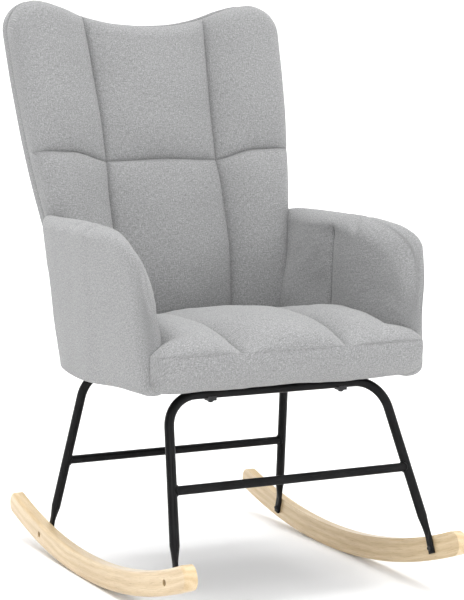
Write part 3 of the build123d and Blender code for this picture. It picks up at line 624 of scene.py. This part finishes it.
# ---- seat ----
SEAT_PATH = [(0.1920, 0.4035), (0.1932, 0.4060), (0.1890, 0.4095), (0.1720, 0.4125), (0.1000, 0.4215),
             (0.0400, 0.4300), (-0.0300, 0.4375), (-0.0850, 0.4415), (-0.1250, 0.4400), (-0.1660, 0.4335),
             (-0.2050, 0.4240), (-0.2280, 0.4170), (-0.2390, 0.4110), (-0.2410, 0.4000), (-0.2375, 0.3820),
             (-0.2255, 0.3630), (-0.2070, 0.3505), (-0.1900, 0.3475), (-0.1835, 0.3520), (-0.1828, 0.3750),
             (-0.1826, 0.3960), (-0.1780, 0.4025), (-0.1500, 0.4028), (0.0000, 0.4028), (0.1700, 0.4028),
             (0.1910, 0.4034)]
FRONT_SEAM, LIP_END, RAIL_TOP = 12, 17, 20
SEAT_SEAM_X = 0.1075
SEAT_FLOOR = 0.4030


def seat():
    """The seat: a pad of three crowned channels that rolls over the front to a seam, and a lip below it."""
    path = np.array(SEAT_PATH)
    run = np.concatenate([[0], np.cumsum(np.hypot(*np.diff(path, axis=0).T))])
    seam_run, end_run, rail_run = run[FRONT_SEAM], run[LIP_END], run[RAIL_TOP]
    close = np.array([0, 0.0009, 0.002, 0.0036, 0.006, 0.0095])
    top = np.arange(0, seam_run - 0.012, 0.0052)
    lip = np.arange(seam_run + 0.014, end_run, 0.0045)
    behind_lip = np.arange(end_run + 0.003, rail_run, 0.005)
    underside = np.arange(rail_run + 0.004, run[-1] - 0.004, 0.012)
    t = np.concatenate([top, seam_run - close[:0:-1], seam_run + close, lip, behind_lip, underside])
    section = np.stack([smooth(np.stack([run, path[:, k]], axis=1), t) for k in (0, 1)], axis=1)
    nominal_half = 0.205
    cols = stations(-nominal_half, nominal_half, [-SEAT_SEAM_X, SEAT_SEAM_X], 0.0055, 0.026)
    c, tt = np.meshgrid(cols, t)
    y0 = section[:, 0][:, None] + 0 * c
    z0 = section[:, 1][:, None] + 0 * c
    in_lip = step01((-0.190 - y0) / 0.024) * step01((0.445 - z0) / 0.020)
    half = smooth(INNER_XS, y0) + 0.0030
    half = half + (0.2460 - half) * in_lip
    seam_x = smooth([(-0.25, 0.0925), (-0.20, 0.097), (-0.13, 0.103), (-0.06, 0.107), (0.2, 0.109)], y0)
    beyond = (np.abs(c) - SEAT_SEAM_X) / (nominal_half - SEAT_SEAM_X)
    x = np.where(beyond < 0, np.abs(c) / SEAT_SEAM_X * seam_x, seam_x + beyond * (half - seam_x))
    x = x * np.sign(c)
    # the core that the section shrinks to at its two ends
    tops = smooth([(y, z) for y, z in SEAT_PATH[FRONT_SEAM:2:-1]], y0)
    core_z = np.where(y0 > -0.196, (tops + SEAT_FLOOR) / 2, np.clip(z0, 0.376, 0.4080))
    core_y = np.where(y0 > -0.196, np.clip(y0, -0.200, 0.172), -0.2135)
    low = (z0 < 0.4020) & (y0 < -0.180)
    core_z = np.where(low, np.clip(z0, 0.371, 0.402), core_z)
    core_y = np.where(low, -0.2135, core_y)
    end_d = half - np.abs(x)
    roll = rolled(end_d, np.where(in_lip > 0.5, 0.024, 0.020))
    y = core_y + (y0 - core_y) * roll
    z = core_z + (z0 - core_z) * roll
    slope = np.gradient(section, axis=0)
    slope /= np.linalg.norm(slope, axis=1)[:, None] + 1e-9
    normal_y, normal_z = slope[:, 1][:, None], -slope[:, 0][:, None]
    upper = step01((tt - 0.02) / 0.02) * (tt <= seam_run)
    seam_d = np.abs(np.abs(x) - seam_x)
    front_d = np.abs(tt - seam_run)
    side_middle = (seam_x + half) / 2
    side_across = np.abs(np.abs(x) - side_middle) / (half - side_middle)
    across = np.where(np.abs(x) < seam_x, np.abs(x) / seam_x, side_across)
    panel = np.clip(1 - np.clip(across, 0, 1) ** 2.1, 0, 1)
    ahead = 1 - np.exp(-np.clip(seam_run - tt, 0, None) / 0.013)
    height = 0.0215 + 0.0030 * bump(y0, -0.19, 0.045)
    height = height - 0.0060 * (np.abs(x) > seam_x)
    crown = height * panel * ahead * upper
    pinch = 0.0080 * (1 - seam_fill(seam_d, 0.0035, 0.017)) * upper * step01((seam_run - tt) / 0.005)
    front_pinch = 0.0014 * (1 - seam_fill(front_d, 0.0030, 0.020)) * (tt > 0.02) * (tt < end_run)
    near_middle = 0.5 + 0.5 * (np.abs(x) < seam_x)
    folds = puckers(front_d, x, 0.0042, 0.024, 0.0125, 31) * upper * near_middle
    folds += puckers(seam_d, tt, 0.0013, 0.016, 0.017, 33) * upper
    uneven = 0.0013 * clouds(x, tt, 0 * x, 0.07, 35) + 0.0006 * clouds(x, tt, 0 * x, 0.025, 36)
    uneven = uneven * ((tt > 0.02) & (tt < end_run))
    swell = (crown - pinch - front_pinch + folds + uneven) * roll
    points = np.stack([x, y + normal_y * swell, z + normal_z * swell], axis=-1)
    rows, count = x.shape
    faces = []
    for r in range(rows):
        first, after = r * count, (r + 1) % rows * count
        for k in range(count - 1):
            faces.append((first + k, first + k + 1, after + k + 1, after + k))
    uvs = arc_lengths(points).reshape(-1, 2)
    obj = make_object("seat_pad", shifted(points).reshape(-1, 3), faces, uvs, CLOTH)
    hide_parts("seat_cushion")
    return obj


# ---- underside cloth, staples and welds ----
# for each crossbar, where its axis meets the right leg's, and which way that leg runs
WELD_PLACES = [((0.2146, -0.2252, 0.200), (0.1294, -0.3717, -0.9193)),
               ((0.2154, 0.2087, 0.173), (0.1169, 0.2848, -0.9514))]


def dust_cover():
    """The thin cloth stapled under the seat frame, sagging a little between the rails."""
    low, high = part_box("seat_dust_cover")
    xs = np.linspace(low[0], high[0], 57)
    ys = np.linspace(low[1], high[1], 55)
    x, y = np.meshgrid(xs, ys)
    inside = np.minimum((COVER_WIDTH / 2 - 0.025) - np.abs(x), np.minimum(y - ys[0], ys[-1] - y) - 0.025)
    sag = 0.0035 * step01(inside / 0.15) + 0.0006 * clouds(x, y, 0 * x, 0.06, 41) * step01(inside / 0.03)
    edge = np.minimum(COVER_WIDTH / 2 - np.abs(x), np.minimum(y - ys[0], ys[-1] - y))
    ripple = 0.0004 * np.sin(2 * math.pi * (x + y) / 0.035) * np.exp(-edge / 0.02)
    z = low[2] - 0.0002 - sag + np.minimum(ripple, 0)
    points = np.stack([x, y, z], axis=-1)
    rows, count = x.shape
    faces = []
    for r in range(rows - 1):
        for c in range(count - 1):
            first = r * count + c
            faces.append((first, first + count, first + count + 1, first + 1))
    uvs = arc_lengths(points).reshape(-1, 2)
    obj = make_object("underside_cloth", points.reshape(-1, 3), faces, uvs, DUST)
    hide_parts("seat_dust_cover")
    return obj


def swept(line, radius, sides=6):
    """Vertices and faces of a round wire along a line of points, closed at both ends."""
    line = [Vector(p) for p in line]
    verts, faces = [], []
    for i, point in enumerate(line):
        ahead = (line[min(i + 1, len(line) - 1)] - line[max(i - 1, 0)]).normalized()
        side = ahead.orthogonal().normalized() if i == 0 else (side - ahead * side.dot(ahead)).normalized()
        across = ahead.cross(side)
        for k in range(sides):
            turn = 2 * math.pi * k / sides
            verts.append(tuple(point + radius * (math.cos(turn) * side + math.sin(turn) * across)))
    for i in range(len(line) - 1):
        for k in range(sides):
            after = (k + 1) % sides
            faces.append((i * sides + k, i * sides + after, (i + 1) * sides + after, (i + 1) * sides + k))
    faces.append(tuple(range(sides - 1, -1, -1)))
    faces.append(tuple((len(line) - 1) * sides + k for k in range(sides)))
    return verts, faces


def wires(name, lines, radius, sides, material):
    """Several round wires as one piece."""
    verts, faces = [], []
    for line in lines:
        new_verts, new_faces = swept(line, radius, sides)
        faces += [tuple(i + len(verts) for i in face) for face in new_faces]
        verts += new_verts
    return make_object(name, verts, faces, [(v[0], v[1]) for v in verts], material)


def staples():
    """Upholstery staples round the edge of the cloth under the seat."""
    low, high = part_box("seat_dust_cover")
    z = low[2] - 0.0008
    lines = []
    for x in np.arange(low[0] + 0.025, high[0] - 0.02, 0.035):
        for y in (low[1] + 0.009, high[1] - 0.009):
            lines.append(((x, y), (0.005, 0)))
    for y in np.arange(low[1] + 0.03, high[1] - 0.025, 0.035):
        for x in (low[0] + 0.009, high[0] - 0.009):
            lines.append(((x, y), (0, 0.005)))
    bent = []
    for (x, y), (dx, dy) in lines:
        bent.append([(x - dx, y - dy, z + 0.0011), (x - dx, y - dy, z), (x + dx, y + dy, z),
                     (x + dx, y + dy, z + 0.0011)])
    wires("cover_staples", bent, 0.0004, 5, ZINC)


def welds():
    """Weld beads where the two crossbars meet the legs."""
    lines = []
    for place, along in WELD_PLACES:
        for side in (-1, 1):
            at = Vector((side * place[0], place[1] + SHIFT, place[2]))
            leg = Vector((side * along[0], along[1], along[2])).normalized()
            ring = []
            for k in range(25):
                turn = 2 * math.pi * k / 24
                off = Vector((0, math.cos(turn), math.sin(turn))) * (CROSSBAR_RADIUS + 0.0003)
                # how far in from the leg's axis its surface lies at this place round the bar
                across = off - leg * off.dot(leg)
                reach = math.sqrt(max(TUBE_RADIUS ** 2 - across.y ** 2, 0))
                lean = leg.x / leg.z * off.z
                ring.append(at + off + Vector((lean - side * (reach + 0.0004), 0, 0)))
            lines.append(ring)
    wires("crossbar_welds", lines, 0.0017, 8, COAT)


back_cushion()
back_cover()
for side in (-1, 1):
    arm(side)
seat()
dust_cover()
staples()
welds()


# ---- room, lights and camera ----
def plain(name, colour, rough):
    n = Nodes(name)
    place = n.add("ShaderNodeTexCoord").outputs["Object"]
    soft = n.noise(n.stretch(place, (1.5, 1.5, 1.5)), 1.0, 3.0)
    low = tuple(0.985 * c for c in colour)
    n.set(Base_Color=n.ramp(soft, [(0.3, low), (0.7, colour)]), Roughness=rough, Specular_IOR_Level=0.1)
    return n.material


def floor():
    """A round pale floor that curves up into a low wall far away on every side."""
    profile = [(0.0, 0.0), (2.0, 0.0), (5.0, 0.0), (9.0, 0.0), (12.0, 0.0)]
    for k in range(1, 13):
        angle = k / 12 * math.pi / 2
        profile.append((12.0 + 3.0 * math.sin(angle), 3.0 - 3.0 * math.cos(angle)))
    profile.append((15.0, 6.5))
    sides = 96
    verts = [(0.0, 0.0, 0.0)]
    for reach, height in profile[1:]:
        for k in range(sides):
            turn = 2 * math.pi * k / sides
            verts.append((reach * math.cos(turn), reach * math.sin(turn), height))
    faces = [(0, 1 + k, 1 + (k + 1) % sides) for k in range(sides)]
    for ring in range(len(profile) - 2):
        first = 1 + ring * sides
        for k in range(sides):
            after = (k + 1) % sides
            faces.append((first + k, first + sides + k, first + sides + after, first + after))
    mesh = bpy.data.meshes.new("studio_floor")
    mesh.from_pydata(verts, [], faces)
    mesh.polygons.foreach_set("use_smooth", [True] * len(faces))
    mesh.materials.append(plain("studio_paper", (0.93, 0.93, 0.93), 0.9))
    obj = bpy.data.objects.new("studio_floor", mesh)
    bpy.context.scene.collection.objects.link(obj)


def soft_light(name, place, spread, strength):
    """A broad, distant light that shines from a place towards the chair."""
    light = bpy.data.lights.new(name, "SUN")
    light.angle = math.radians(spread)
    light.energy = strength
    obj = bpy.data.objects.new(name, light)
    obj.location = place
    obj.rotation_euler = (Vector((0, 0, 0.5)) - Vector(place)).to_track_quat("-Z", "Y").to_euler()
    bpy.context.scene.collection.objects.link(obj)


def camera():
    data = bpy.data.cameras.new("camera")
    data.sensor_width = 36.0
    data.lens = 110.95
    data.shift_x, data.shift_y = 0.0042, 0.0157
    obj = bpy.data.objects.new("camera", data)
    obj.location = (-1.41405, -2.77524 + SHIFT, 0.80598)
    aim = Vector((0, SHIFT, 0.45)) - obj.location
    obj.rotation_euler = aim.to_track_quat("-Z", "Y").to_euler()
    bpy.context.scene.collection.objects.link(obj)
    bpy.context.scene.camera = obj


floor()
soft_light("key", (-1.2, -3.0, 2.5), 32, 1.05)
soft_light("fill", (2.8, -2.2, 1.9), 40, 1.05)
soft_light("top", (0.0, 0.3, 3.4), 55, 3.3)
world = bpy.data.worlds.new("studio")
world.use_nodes = True
world.node_tree.nodes["Background"].inputs["Color"].default_value = (1, 1, 1, 1)
world.node_tree.nodes["Background"].inputs["Strength"].default_value = 0.52
bpy.context.scene.world = world
bpy.context.scene.view_settings.view_transform = "Standard"
camera()
